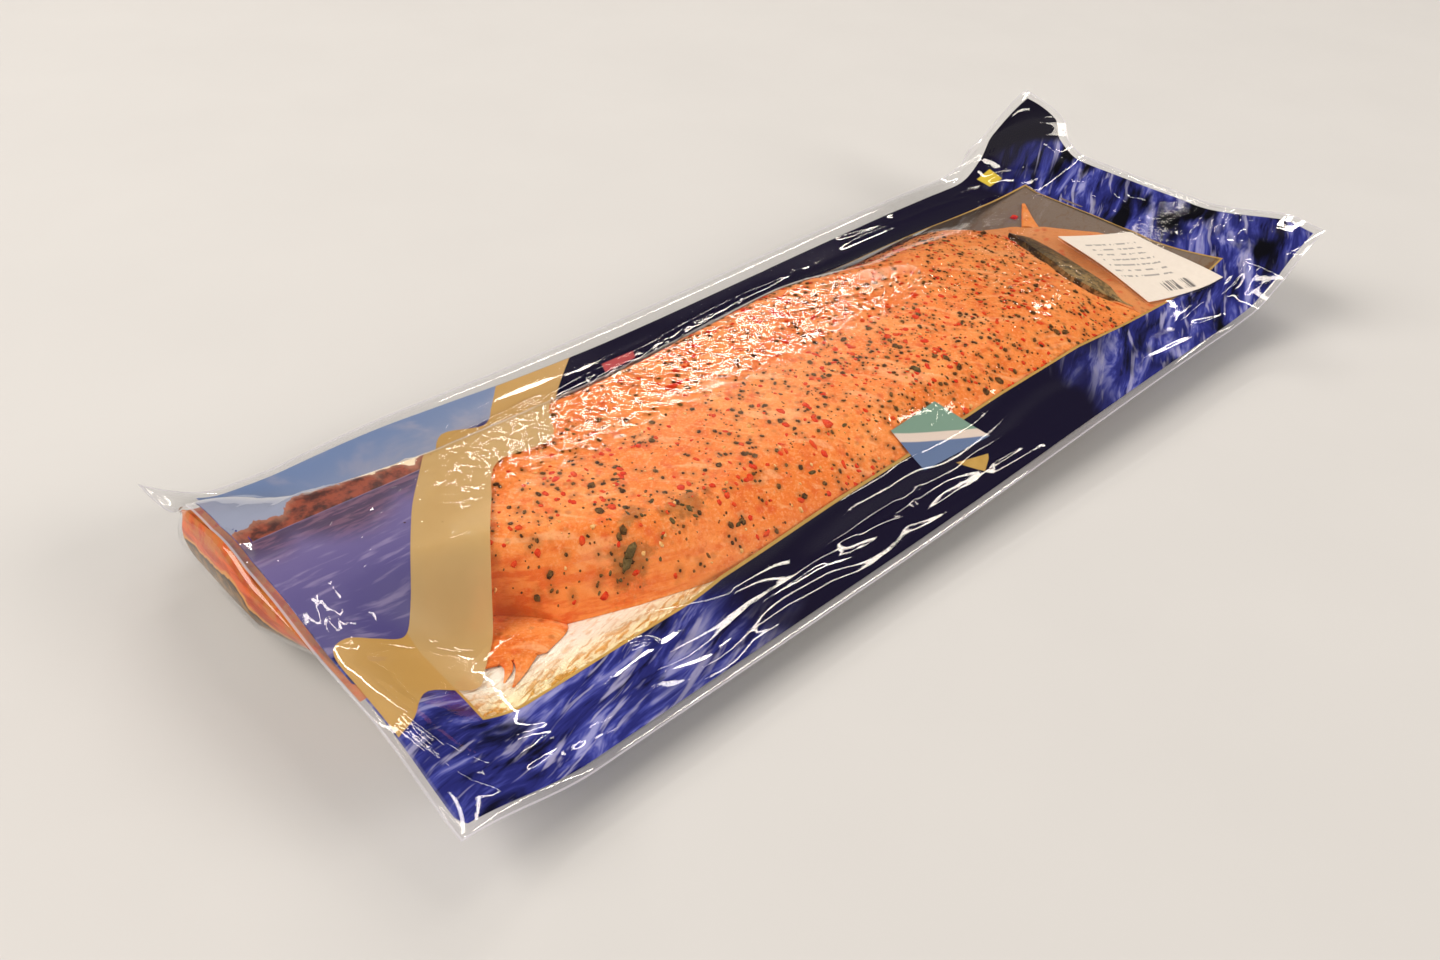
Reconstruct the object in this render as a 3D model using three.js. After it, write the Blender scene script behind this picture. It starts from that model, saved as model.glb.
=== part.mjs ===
// A flat vacuum pack that holds a whole side of smoked salmon, lying on its belly.
// Millimetres, +Z up. X runs along the pack from its near end (-X) to its far end (+X),
// and Y across it from the front edge (-Y) to the back edge (+Y).
// The origin is on the table under the middle of the pack.
import * as THREE from 'three';
import { mergeVertices } from 'three/addons/utils/BufferGeometryUtils.js';

// Driving dimensions
const packLength = 607;
const packWidth = 220;
const sealThickness = 0.8;
const bellyDepth = 14; // from the seal's level down to the table
const crestHeight = 26; // film over the thickest part of the fish, above the seal's level
const tailDrop = 13; // how much lower the film lies beyond the tail
const bellyDrop = 5; // how much lower the fish is along its front side than along its back

// The curled corner at the near end
const tipReach = 6;
const tipRise = 16;
const tipRadius = 24;

// The near end, where the thick cut of the fish pushes the film out below the seal
const endWallRun = 14;
const endBulge = 7;
const fullEndDepth = 30;

// The underside: where it leaves the seal in front and behind, over what run it reaches the
// table, how that differs at the near end, and where it rises again under the tail
const trayFront = 34;
const trayFrontRun = 62;
const trayFrontAtEnd = 50;
const trayFrontRunAtEnd = 110;
const trayBack = 206;
const trayBackAtEnd = 212;
const trayBackRun = 34;
const trayNearRun = 90;
const trayTailStart = 330;
const trayTailRun = 240;

// The turned-up flap past the far end of the fish
const flapStart = 557;
const flapRise = 14;
const backCornerRise = 30;
const frontCornerRise = 15;
const frontCornerInset = 14;
const backCornerInset = 5;

// The sticker, its corners in turn: near the crest, at the back, at the far front, at the front
const stickerCorners = [[505, 119], [554, 97], [541, 29], [484, 44]];
const stickerGap = 0.6;
const stickerThickness = 0.4;

// Mesh steps
const endWallSteps = 7;
const bodySteps = 38;
const flapSteps = 12;
const crossSteps = 26;
const stickerSteps = [6, 8];

const centreX = (packLength - tipReach) / 2;
const centreY = packWidth / 2;

const smooth = (t) => THREE.MathUtils.smoothstep(t, 0, 1);
const ramp = (t) => Math.min(Math.max(t, 0), 1);
const mix = THREE.MathUtils.lerp;

// A line through a few [place, value] pairs, straight between them.
function follow(pairs, at) {
  const next = pairs.findIndex(([place]) => place >= at);
  if (next === 0) return pairs[0][1];
  if (next < 0) return pairs.at(-1)[1];
  const [start, from] = pairs[next - 1];
  const [end, to] = pairs[next];
  return mix(from, to, (at - start) / (end - start));
}

// Height of the seal along the front edge, the back edge and the near end.
const frontEdge = (x) => 7 * smooth((x - 190) / 290) + 4 * smooth((x - 490) / 70);
const backEdge = (x) => -5 + 6 * smooth(x / 110) + 12 * smooth((x - 150) / 360);
function nearEdge(y) {
  const arch = 7 * Math.exp(-(((y - 148) / 24) ** 2));
  return 10 + 11 * smooth(y / 50) + arch - 22 * smooth((y - 180) / 38);
}

// 1 at the tip of the curled corner, falling to 0 a tip's radius away.
const tipShare = (x, y) => Math.max(1 - Math.hypot(x, packWidth - y) / tipRadius, 0) ** 2;

// Height of the sealed film, carried on across the whole pack.
function sealHeight(x, y) {
  const across = y / packWidth;
  const middle = mix(frontEdge(x), backEdge(x), across);
  const nearShare = 1 - smooth(x / 52);
  const nearLift = nearShare * (nearEdge(y) - mix(frontEdge(0), backEdge(0), across));
  const flap = flapRise * Math.max(x - flapStart, 0) / (packLength - flapStart);
  const backCorner = backCornerRise * smooth((x - 515) / 92) * smooth((y - 165) / 55);
  const frontCorner = frontCornerRise * smooth((x - 525) / 50) * (1 - smooth(y / 85));
  return middle + nearLift + flap + backCorner + frontCorner + tipRise * tipShare(x, y);
}

// The outline seen from above: the far corners draw in as they curl, the near tip reaches out.
function planX(x, y) {
  const inset = frontCornerInset * (1 - smooth(y / 32)) + backCornerInset * smooth((y - 190) / 30);
  return x - tipReach * tipShare(x, y) - inset * smooth((x - 555) / 52);
}

// Where the film leaves the front band and how far it takes to climb onto the fish.
const footLine = [[0, 78], [40, 74], [75, 66], [95, 54], [120, 40], [145, 28], [215, 17],
  [270, 12], [330, 1], [400, 1], [440, 10], [530, 30]];
const footWidth = [[0, 40], [75, 36], [120, 38], [170, 48], [270, 62], [330, 70]];

// How far the film has climbed onto the fish: 0 on the seal, 1 over its back.
function climb(x, y) {
  const front = smooth((y - follow(footLine, x)) / follow(footWidth, x));
  const crease = 180 + 26 * (1 - smooth(x / 95)) + 12 * smooth((x - 150) / 190);
  const creaseWidth = 30 + 20 * (1 - smooth(x / 90)) + 18 * smooth((x - 300) / 90);
  return front * smooth((crease - y) / creaseWidth);
}

function topHeight(x, y) {
  const seal = sealHeight(x, y);
  const bellySlope = bellyDrop * ramp((140 - y) / 110) ** 1.5;
  const crest = crestHeight - bellySlope - tailDrop * smooth((x - 390) / 150);
  return mix(seal, Math.max(crest, seal), climb(x, y));
}

// How far the underside has sunk: 0 on the seal, 1 on the flat belly that rests on the table.
function sag(x, y) {
  const inward = smooth(x / trayNearRun);
  const frontStart = mix(trayFrontAtEnd, trayFront, inward);
  const frontRun = mix(trayFrontRunAtEnd, trayFrontRun, inward);
  const backStart = mix(trayBackAtEnd, trayBack, inward);
  const front = smooth((y - frontStart) / frontRun);
  const back = smooth((backStart - y) / trayBackRun);
  return front * back * (1 - smooth((x - trayTailStart) / trayTailRun));
}

const placed = (x, y, z) => new THREE.Vector3(x - centreX, y - centreY, z + bellyDepth);

const topPoint = (x, y) => placed(planX(x, y), y, topHeight(x, y));

// The near end wall bulges out below the seal before it turns under the fish.
function bottomPoint(x, y) {
  const seal = sealHeight(x, y) - sealThickness;
  const depth = sag(x, y) * (seal + bellyDepth);
  const along = ramp(x / endWallRun);
  const wallX = x * along ** 2 - endBulge * Math.sin(Math.PI * along);
  const wallShare = along < 1 ? ramp(depth / fullEndDepth) : 0;
  return placed(mix(planX(x, y), wallX, wallShare), y, seal - depth * smooth(along));
}

// Even steps from one place to another, without the first.
const steps = (from, to, count) => Array.from({ length: count }, (_, i) => mix(from, to, (i + 1) / count));

function lengthStations() {
  const bodyEnd = 515;
  return [0, ...steps(0, endWallRun, endWallSteps), ...steps(endWallRun, bodyEnd, bodySteps),
    ...steps(bodyEnd, packLength, flapSteps)];
}

// Steps across the pack, a little closer together towards both edges.
function crossStations() {
  const even = [0, ...steps(0, 1, crossSteps)];
  return even.map((t) => packWidth * mix(t, (1 - Math.cos(Math.PI * t)) / 2, 0.5));
}

// A closed shell from two sheets of the same rows and columns of points, joined round their rims.
function shell(upper, lower) {
  const rows = upper.length;
  const columns = upper[0].length;
  const points = [...upper.flat(), ...lower.flat()];
  const lowerStart = rows * columns;
  const faces = [];
  for (let i = 0; i < rows - 1; i++) {
    for (let j = 0; j < columns - 1; j++) {
      const a = i * columns + j;
      const b = a + columns;
      faces.push(a, b, b + 1, a, b + 1, a + 1);
      faces.push(lowerStart + a, lowerStart + b + 1, lowerStart + b);
      faces.push(lowerStart + a, lowerStart + a + 1, lowerStart + b + 1);
    }
  }
  const rim = [];
  for (let i = 0; i < rows - 1; i++) rim.push(i * columns);
  for (let j = 0; j < columns - 1; j++) rim.push((rows - 1) * columns + j);
  for (let i = rows - 1; i > 0; i--) rim.push(i * columns + columns - 1);
  for (let j = columns - 1; j > 0; j--) rim.push(j);
  rim.forEach((a, k) => {
    const b = rim[(k + 1) % rim.length];
    faces.push(a, lowerStart + a, lowerStart + b, a, lowerStart + b, b);
  });
  const geometry = new THREE.BufferGeometry().setFromPoints(points);
  geometry.setIndex(faces);
  const solid = mergeVertices(geometry);
  solid.computeVertexNormals();
  return solid;
}

const grid = (alongs, acrosses, point) => alongs.map((x) => acrosses.map((y) => point(x, y)));

function pouchGeometry() {
  const alongs = lengthStations();
  const acrosses = crossStations();
  return shell(grid(alongs, acrosses, topPoint), grid(alongs, acrosses, bottomPoint));
}

// The sticker follows the film at a small clearance, between its four corners.
function stickerGeometry() {
  const [cornerA, cornerB, cornerC, cornerD] = stickerCorners.map(([x, y]) => new THREE.Vector2(x, y));
  const sheet = (lift) => (s, t) => {
    const near = cornerA.clone().lerp(cornerD, 1 - t);
    const far = cornerB.clone().lerp(cornerC, 1 - t);
    const at = near.lerp(far, s);
    return placed(at.x, at.y, topHeight(at.x, at.y) + lift);
  };
  const [alongs, acrosses] = stickerSteps.map((count) => [0, ...steps(0, 1, count)]);
  const upper = grid(alongs, acrosses, sheet(stickerGap + stickerThickness));
  return shell(upper, grid(alongs, acrosses, sheet(stickerGap)));
}

function piece(name, geometry, material) {
  const mesh = new THREE.Mesh(geometry, material);
  mesh.name = name;
  return mesh;
}

const filmMaterial = new THREE.MeshStandardMaterial({ color: 0xd98a55, roughness: 0.2, metalness: 0 });
const stickerMaterial = new THREE.MeshStandardMaterial({ color: 0xe9e4de, roughness: 0.5, metalness: 0 });

const group = new THREE.Group();
group.add(piece('pouch', pouchGeometry(), filmMaterial));
group.add(piece('sticker', stickerGeometry(), stickerMaterial));

export default group;
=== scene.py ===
"""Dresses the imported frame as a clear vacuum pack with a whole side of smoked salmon.

Places on the pack are in millimetres from the corner of the seal where the near end meets the
front edge: x runs along the pack, y across it and z up from the level of the seal. lift() turns
them into the metres of the shared frame. Materials read their places in metres too, the printed
ones from the flat pack and the others from the frame.
"""

import math

import bpy
import numpy as np
from mathutils import Euler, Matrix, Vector


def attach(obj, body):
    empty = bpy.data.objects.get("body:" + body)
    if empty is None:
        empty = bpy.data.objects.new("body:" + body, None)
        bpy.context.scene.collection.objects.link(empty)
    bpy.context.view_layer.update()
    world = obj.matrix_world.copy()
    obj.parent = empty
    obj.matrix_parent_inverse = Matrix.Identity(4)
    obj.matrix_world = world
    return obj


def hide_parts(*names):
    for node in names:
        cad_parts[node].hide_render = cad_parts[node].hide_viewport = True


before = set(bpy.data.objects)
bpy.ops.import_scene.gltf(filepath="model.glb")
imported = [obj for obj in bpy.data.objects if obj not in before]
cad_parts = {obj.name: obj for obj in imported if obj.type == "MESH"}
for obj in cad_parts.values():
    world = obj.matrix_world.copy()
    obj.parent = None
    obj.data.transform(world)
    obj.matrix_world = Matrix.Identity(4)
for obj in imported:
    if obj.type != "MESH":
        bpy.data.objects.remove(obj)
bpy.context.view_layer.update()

MM = 0.001
BODY = "root"

# ---------------------------------------------------------------- the pack's form

PACK_LENGTH = 607
PACK_WIDTH = 220
BELLY_DEPTH = 14
CREST_HEIGHT = 26
TAIL_DROP = 13
BELLY_DROP = 5
TIP_REACH = 6
TIP_RISE = 16
TIP_RADIUS = 24
END_WALL_RUN = 14
END_BULGE = 7
FULL_END_DEPTH = 30
FLAP_START = 557
FLAP_RISE = 14
BACK_CORNER_RISE = 30
FRONT_CORNER_RISE = 15
FRONT_CORNER_INSET = 14
BACK_CORNER_INSET = 5
TRAY_FRONT = (50, 34)
TRAY_FRONT_RUN = (110, 62)
TRAY_BACK = (212, 206)
TRAY_BACK_RUN = 34
TRAY_NEAR_RUN = 90
TRAY_TAIL_START = 330
TRAY_TAIL_RUN = 240
FILM_GAP = 0.7

CENTRE_X = (PACK_LENGTH - TIP_REACH) / 2
CENTRE_Y = PACK_WIDTH / 2

FOOT_LINE = [(0, 78), (40, 74), (75, 66), (95, 54), (120, 40), (145, 28), (215, 17),
             (270, 12), (330, 1), (400, 1), (440, 10), (530, 30)]
FOOT_WIDTH = [(0, 40), (75, 36), (120, 38), (170, 48), (270, 62), (330, 70)]

# The clear window in the printed border, and the border's own edges
WINDOW_X = (34, 557)
WINDOW_Y = (39, 178)
LINE_WIDTH = 1.2
PRINT_END = 601
PRINT_Y = (4.5, 215.5)

# How far each printed layer lies below the film's own soft form
BORDER_BELOW = 0.38
LINE_BELOW = 0.32
PICTURE_BELOW = 0.26
RIBBON_BELOW = 0.16
PATCH_BELOW = 0.12

# The white label: the two ends of its middle, how far the film lies flat round it, and how it is turned
LABEL_MIDDLE = [(515, 78), (523, 66)]
LABEL_FLAT = 34
LABEL_CENTRE = (519, 72)
LABEL_TURN = 24

# The far back corner is bent up beyond a slanting line across the pack
EAR_SLANT = 0.55
EAR_START = 516
EAR_STRETCH = 1.14
EAR_RISE = 7.0

# The fish's outline on the board: its front edge, and its cut end beyond the tail
FISH_FRONT = [(0, 58), (30, 64), (52, 78), (70, 87), (80, 76), (87, 66), (100, 59), (114, 52),
              (134, 45), (156, 38), (190, 32), (250, 28), (330, 22), (400, 22), (440, 27), (470, 38),
              (490, 44)]
FISH_END = [(20, 476), (44, 474), (54, 470), (68, 464), (82, 463), (101, 471), (117, 476), (136, 481),
            (150, 476), (166, 464), (185, 450)]


def smooth(t):
    t = np.clip(t, 0, 1)
    return t * t * (3 - 2 * t)


def blend(start, end, share):
    return start + (end - start) * share


def along(pairs, at):
    places, values = zip(*pairs)
    return np.interp(at, places, values)


def seal_height(x, y):
    """Height of the sealed film, carried on across the whole pack."""
    front = 7 * smooth((x - 190) / 290) + 4 * smooth((x - 490) / 70)
    back = -5 + 6 * smooth(x / 110) + 12 * smooth((x - 150) / 360)
    arch = 7 * np.exp(-(((y - 148) / 24) ** 2))
    near = 10 + 11 * smooth(y / 50) + arch - 22 * smooth((y - 180) / 38)
    across = y / PACK_WIDTH
    height = blend(front, back, across)
    near_middle = blend(0, -5, across)
    height = height + (1 - smooth(x / 52)) * (near - near_middle)
    height = height + FLAP_RISE * np.maximum(x - FLAP_START, 0) / (PACK_LENGTH - FLAP_START)
    height = height + BACK_CORNER_RISE * smooth((x - 515) / 92) * smooth((y - 165) / 55)
    height = height + FRONT_CORNER_RISE * smooth((x - 525) / 50) * (1 - smooth(y / 85))
    return height + TIP_RISE * tip_share(x, y)


def tip_share(x, y):
    return np.maximum(1 - np.hypot(x, PACK_WIDTH - y) / TIP_RADIUS, 0) ** 2


def plan_x(x, y):
    """The far corners draw in as they curl, and the near tip reaches out."""
    front = FRONT_CORNER_INSET * (1 - smooth(y / 32))
    back = BACK_CORNER_INSET * smooth((y - 190) / 30)
    return x - TIP_REACH * tip_share(x, y) - (front + back) * smooth((x - 555) / 52)


def crease(x):
    """Where the film reaches the seal again behind the fish."""
    return 180 + 26 * (1 - smooth(x / 95)) + 12 * smooth((x - 150) / 190)


def climb(x, y):
    """How far the film has climbed onto the fish: 0 on the seal, 1 over its back."""
    front = smooth((y - along(FOOT_LINE, x)) / along(FOOT_WIDTH, x))
    width = 30 + 20 * (1 - smooth(x / 90)) + 18 * smooth((x - 300) / 90)
    return front * smooth((crease(x) - y) / width)


def film_height(x, y):
    seal = seal_height(x, y)
    slope = BELLY_DROP * np.clip((140 - y) / 110, 0, 1) ** 1.5
    crest = CREST_HEIGHT - slope - TAIL_DROP * smooth((x - 390) / 150)
    return blend(seal, np.maximum(crest, seal), climb(x, y))


def sag(x, y):
    """How far the underside has sunk: 0 on the seal, 1 on the flat belly."""
    inward = smooth(x / TRAY_NEAR_RUN)
    front = smooth((y - blend(*TRAY_FRONT, inward)) / blend(*TRAY_FRONT_RUN, inward))
    back = smooth((blend(*TRAY_BACK, inward) - y) / TRAY_BACK_RUN)
    return front * back * (1 - smooth((x - TRAY_TAIL_START) / TRAY_TAIL_RUN))


def tray_point(x, y, bulge=END_BULGE, shift=0.0):
    """A point of the underside. Its near end wall bulges out below the seal."""
    seal = seal_height(x, y) - FILM_GAP * (0.1 + 0.9 * smooth(edge_distance(x, y) / 3))
    depth = sag(x, y) * (seal + BELLY_DEPTH)
    share = np.clip(x / END_WALL_RUN, 0, 1)
    wall = x * share ** 2 - bulge * np.sin(math.pi * share)
    wall_share = np.where(share < 1, np.clip(depth / FULL_END_DEPTH, 0, 1), 0)
    hung = np.clip(depth / FULL_END_DEPTH, 0, 1) * (1 - smooth((x - 10) / 25))
    place = blend(plan_x(x, y), wall, wall_share) + shift * hung
    return place, y + 0 * x, seal - depth * smooth(share)


def edge_distance(x, y):
    return np.minimum(np.minimum(y, PACK_WIDTH - y), np.minimum(x, PACK_LENGTH - x))


def lift(x, y, z):
    """From millimetres on the pack to metres in the shared frame."""
    spot = np.stack(np.broadcast_arrays(x - CENTRE_X, y - CENTRE_Y, z + BELLY_DEPTH), axis=-1)
    return spot * MM


# ---------------------------------------------------------------- the film's folds

# Each fold: its height, its reach to either side, and the places that it runs through.
# Folds that reach far are round, the others sharp.
FOLDS = [
    (0.9, 7.5, [(17, 24), (26, 18), (49, 22), (72, 23), (99, 25), (125, 27), (150, 27), (180, 30),
                (210, 31), (250, 31), (273, 28), (306, 27), (330, 30), (354, 31), (402, 26), (446, 22),
                (500, 15)]),
    (0.75, 6.0, [(24, 9), (38, 15), (56, 19), (70, 17), (89, 18), (100, 14), (115, 11), (130, 13), (158, 19),
                 (180, 17), (196, 12), (214, 10), (231, 14), (257, 16), (289, 14), (327, 10)]),
    (0.6, 5.5, [(189, 22), (211, 18), (236, 12), (256, 9), (290, 8)]),
    (0.6, 5.5, [(274, 20), (296, 19), (324, 15), (356, 10), (398, 12), (440, 12), (480, 8)]),
    (0.8, 4.0, [(94, 36), (103, 33), (105, 26)]),
    (1.4, 5.6, [(2, 96), (5, 77), (10, 50), (14, 36), (18, 26), (27, 17)]),
    (0.9, 4.6, [(3, 66), (7, 39), (10, 28), (15, 17), (24, 8)]),
    (0.6, 3.6, [(12, 32), (19, 22), (22, 13)]),
    (1.1, 4.6, [(20, 19), (34, 20), (49, 22), (66, 22)]),
    (0.8, 4.0, [(30, 11), (44, 14), (60, 13)]),
    (1.0, 3.4, [(120, 183), (150, 185), (178, 188), (210, 191), (240, 193), (280, 195), (320, 196),
                (352, 196)]),
    (0.8, 4.0, [(390, 197), (450, 197), (520, 192)]),
    (0.9, 3.6, [(60, 154), (78, 157), (108, 183), (133, 188), (160, 190), (182, 190)]),
    (0.8, 3.4, [(18, 158), (29, 161), (40, 164), (50, 154)]),
    (0.9, 3.6, [(46, 74), (66, 86), (84, 80), (104, 74)]),
    (0.8, 3.4, [(40, 62), (62, 70), (80, 68), (96, 60), (112, 56)]),
    (1.0, 4.4, [(470, 20), (508, 26), (540, 22), (566, 30)]),
    (0.9, 4.0, [(562, 40), (574, 66), (568, 96), (576, 128), (570, 160)]),
    (0.9, 4.4, [(536, 196), (560, 188), (580, 170)]),
    (1.1, 4.6, [(560, 206), (582, 192), (594, 170)]),
    (0.8, 3.6, [(556, 212), (573, 201), (589, 193), (603, 185)]),
]

# Short folds that are strewn over the sealed bands: how many, and the strips that they lie in
STRAY_FOLDS = [(34, (30, 560), (7, 34)), (5, (400, 540), (190, 212)), (14, (560, 596), (20, 200)),
               (10, (6, 30), (20, 190)), (26, (40, 150), (90, 178))]


def stray_folds():
    rng = np.random.default_rng(3)
    found = []
    for count, (x_low, x_high), (y_low, y_high) in STRAY_FOLDS:
        leaning = (y_high - y_low) > (x_high - x_low)
        for _ in range(count):
            x, y = rng.uniform(x_low, x_high), rng.uniform(y_low, y_high)
            length, slant = rng.uniform(14, 44), rng.uniform(-0.3, 0.3)
            angle = math.pi / 2 + slant if leaning else slant
            bow = rng.uniform(-0.12, 0.12) * length
            dx, dy = math.cos(angle) * length / 2, math.sin(angle) * length / 2
            middle = (x - math.sin(angle) * bow, y + math.cos(angle) * bow)
            found.append((rng.uniform(0.25, 0.6), rng.uniform(2.6, 3.8),
                          [(x - dx, y - dy), middle, (x + dx, y + dy)]))
    return found


# Small domes where the film lies loose: the middle of each group, its reach and how many
BUBBLES = [((433, 71), 6, 12), ((418, 70), 7, 8), ((400, 60), 10, 9), ((430, 50), 10, 6), ((390, 78), 9, 7),
           ((335, 42), 9, 6), ((298, 51), 10, 6), ((262, 58), 8, 6), ((222, 147), 46, 30),
           ((300, 141), 40, 26),
           ((165, 148), 34, 20), ((130, 128), 16, 12), ((104, 128), 12, 9), ((128, 146), 12, 8),
           ((170, 100), 50, 14), ((250, 120), 70, 26), ((345, 110), 60, 22),
           ((12, 88), 5, 4), ((30, 112), 14, 4)]


def bubbles(x, y):
    """The height of the small domes, each a slightly flattened round one."""
    rng = np.random.default_rng(8)
    height = 0 * x
    for (cx, cy), spread, count in BUBBLES:
        for _ in range(count):
            px, py = rng.normal(cx, spread * 0.6), rng.normal(cy, spread * 0.4)
            wide, peak = rng.uniform(1.7, 3.4), rng.uniform(0.22, 0.5)
            angle, flat = rng.uniform(0, math.pi), rng.uniform(0.5, 1.0)
            near = (np.abs(x - px) < wide) & (np.abs(y - py) < wide)
            u = (x[near] - px) * math.cos(angle) + (y[near] - py) * math.sin(angle)
            v = (y[near] - py) * math.cos(angle) - (x[near] - px) * math.sin(angle)
            dome = np.clip(1 - (u * u + v * v / flat ** 2) / wide ** 2, 0, 1) ** 1.5
            height[near] = np.maximum(height[near], peak * dome)
    return height


LATTICE_SIZE = 64  # how many cells the noise has each way before it comes round again


def lattice(x, y, cell_x, cell_y, seed):
    """Smooth noise from -1 to 1 that changes over cells of the given size."""
    table = np.random.default_rng(seed).uniform(-1, 1, (LATTICE_SIZE, LATTICE_SIZE))
    u, v = x / cell_x, y / cell_y
    i, j = np.floor(u).astype(int), np.floor(v).astype(int)
    s, t = smooth(u - i), smooth(v - j)
    row, next_row = i % LATTICE_SIZE, (i + 1) % LATTICE_SIZE
    column, next_column = j % LATTICE_SIZE, (j + 1) % LATTICE_SIZE
    low = blend(table[row, column], table[next_row, column], s)
    high = blend(table[row, next_column], table[next_row, next_column], s)
    return blend(low, high, t)


def turned(x, y, degrees):
    a = math.radians(degrees)
    return x * math.cos(a) + y * math.sin(a), -x * math.sin(a) + y * math.cos(a)


def line_distance(x, y, points):
    """Distance from each place to a line through points, and how far along the line that is."""
    best = np.full(np.shape(x), 1e9)
    share = np.zeros(np.shape(x))
    count = len(points) - 1
    for k in range(count):
        (ax, ay), (bx, by) = points[k], points[k + 1]
        dx, dy = bx - ax, by - ay
        t = np.clip(((x - ax) * dx + (y - ay) * dy) / (dx * dx + dy * dy), 0, 1)
        away = np.hypot(x - ax - t * dx, y - ay - t * dy)
        share = np.where(away < best, (k + t) / count, share)
        best = np.minimum(best, away)
    return best, share


def rounded(points, steps):
    """A smooth line of finer points through the given ones."""
    p = [np.array(q, float) for q in points]
    p = [2 * p[0] - p[1]] + p + [2 * p[-1] - p[-2]]
    out = []
    for a, b, c, d in zip(p, p[1:], p[2:], p[3:]):
        for k in range(steps):
            t = k / steps
            out.append(0.5 * (2 * b + (c - a) * t + (2 * a - 5 * b + 4 * c - d) * t ** 2
                              + (3 * b - a - 3 * c + d) * t ** 3))
    return [tuple(q) for q in out] + [tuple(p[-2])]


def ridged(x, y, cell_x, cell_y, seed):
    """Thin ridges from 0 to 1 along the places where smooth noise changes its sign."""
    return np.clip(1 - 2.6 * np.abs(lattice(x, y, cell_x, cell_y, seed)), 0, 1) ** 2


FOLD_DRIFT = 1.6  # how far a fold strays from its line
FOLD_END = 0.15  # the share of a fold's length over which each end runs out
ROUND_FOLD = 5  # folds that reach further than this are round


def folds(x, y):
    """Creases of the film: sharp along the middle, and easing out to either side."""
    u = x + FOLD_DRIFT * lattice(x, y, 30, 30, 5)
    v = y + FOLD_DRIFT * lattice(x, y, 24, 24, 6)
    wave = 0.75 + 0.25 * lattice(x, y, 26, 26, 7)
    height = 0 * x
    for peak, reach, points in FOLDS + stray_folds():
        line = np.array(rounded(points, 4))
        low, high = line.min(axis=0) - reach, line.max(axis=0) + reach
        near = (u > low[0]) & (u < high[0]) & (v > low[1]) & (v < high[1])
        if not near.any():
            continue
        away, share = line_distance(u[near], v[near], line)
        ends = smooth(share / FOLD_END) * smooth((1 - share) / FOLD_END)
        near_line = np.maximum(1 - away / reach, 0)
        ridge = (near_line * (2 - near_line)) ** 2 if reach > ROUND_FOLD else near_line ** 2
        height[near] = np.maximum(height[near], peak * wave[near] * ends * ridge)
    return height


# Where the film clings behind the fish, and the crest that it is stretched over
BACK_LINE = [(150, 184), (178, 188), (210, 191), (240, 193), (280, 195), (320, 196), (352, 196)]
CREST_LINE = [(0, 140), (120, 142), (195, 145), (235, 146), (300, 140), (346, 136), (420, 104), (500, 80)]

# Heights of the film's relief over the crest: soft dimples, and thin ridges that wind like worms
DIMPLES = 0.11
FINE_DIMPLES = 0.06
WORMS = 0.34
FINE_WORMS = 0.28


def slack(x, y):
    """The soft ups and downs of the film about its plain form, in millimetres."""
    over = climb(x, y)
    u, v = turned(x, y, 14)
    # It lies loose over the sealed bands, stands up behind the crest and is dimpled in front of it
    drape = 0.16 * lattice(x, y, 70, 30, 11) + 0.10 * lattice(u, v, 34, 15, 12)
    loose = 0.13 * (1 - over) * (0.7 + lattice(*turned(x, y, 4), 55, 8, 16))
    loose = loose + 0.05 * (1 - over) * lattice(*turned(x, y, -5), 34, 5, 19)
    off_crest = y - along(CREST_LINE, x)
    crest = 0.6 * over * np.exp(-(((off_crest - 15) / 12) ** 2))
    band = over * (0.2 + 0.8 * np.exp(-(((off_crest + 7) / 15) ** 2)))
    dimples = DIMPLES * band * lattice(x, y, 5.0, 4.2, 17)
    dimples = dimples + FINE_DIMPLES * band * lattice(x, y, 3.1, 3.1, 18)
    loose = loose + 0.22 * smooth((x - 556) / 12) * lattice(x, y, 10, 17, 23)
    soft = (drape + loose + crest + dimples) * (0.25 + 0.75 * smooth(edge_distance(x, y) / 14))
    bent = (EAR_SLANT * x + y - EAR_START) / EAR_STRETCH
    ear = EAR_RISE * smooth(bent / 5) * (1 - smooth(bent / 30))
    return np.maximum(soft * (0.15 + 0.85 * off_label(x, y)), -2 * over) + ear


def off_label(x, y):
    """0 under the label, where the film lies flat, and 1 away from it."""
    return smooth((line_distance(x, y, LABEL_MIDDLE)[0] - LABEL_FLAT) / 12)


def wrinkles(x, y):
    """The sharp folds that stand up from the film, in millimetres."""
    over = climb(x, y)
    near = 1 - smooth((x - 110) / 90)
    crest = np.exp(-(((y - along(CREST_LINE, x) + 6) / 14) ** 2))
    # Winding ridges over the crest, a crinkle at the near end, and long thin ridges behind the fish
    worms = WORMS * ridged(*turned(x, y, 14), 7, 4.6, 13)
    worms = worms + FINE_WORMS * ridged(*turned(x, y, -24), 5.6, 4.2, 14)
    crinkle = near * (0.22 + 0.2 * crest) * ridged(*turned(x, y, 30), 17, 6, 15)
    margin = smooth(edge_distance(x, y) / 14)
    sharp = over * (worms * (0.06 + 0.94 * crest) + crinkle) * (0.25 + 0.75 * margin)
    behind = np.exp(-(((y - along(BACK_LINE, x) + 5) / 4.5) ** 2)) * smooth((x - 120) / 60)
    behind = behind * (1 - smooth((x - 320) / 60))
    sharp = sharp + 0.4 * behind * ridged(*turned(x, y, 16), 11, 3.2, 27)
    sharp = sharp + margin * (folds(x, y) + bubbles(x, y))
    return sharp * off_label(x, y)


def film_point(x, y):
    return plan_x(x, y), y + 0 * x, film_height(x, y) + slack(x, y) + wrinkles(x, y)


# Inside the near end wall, the contents bulge a little less than the film and stand off it
INNER_BULGE = 6.3
INNER_SHIFT = 0.6

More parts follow.
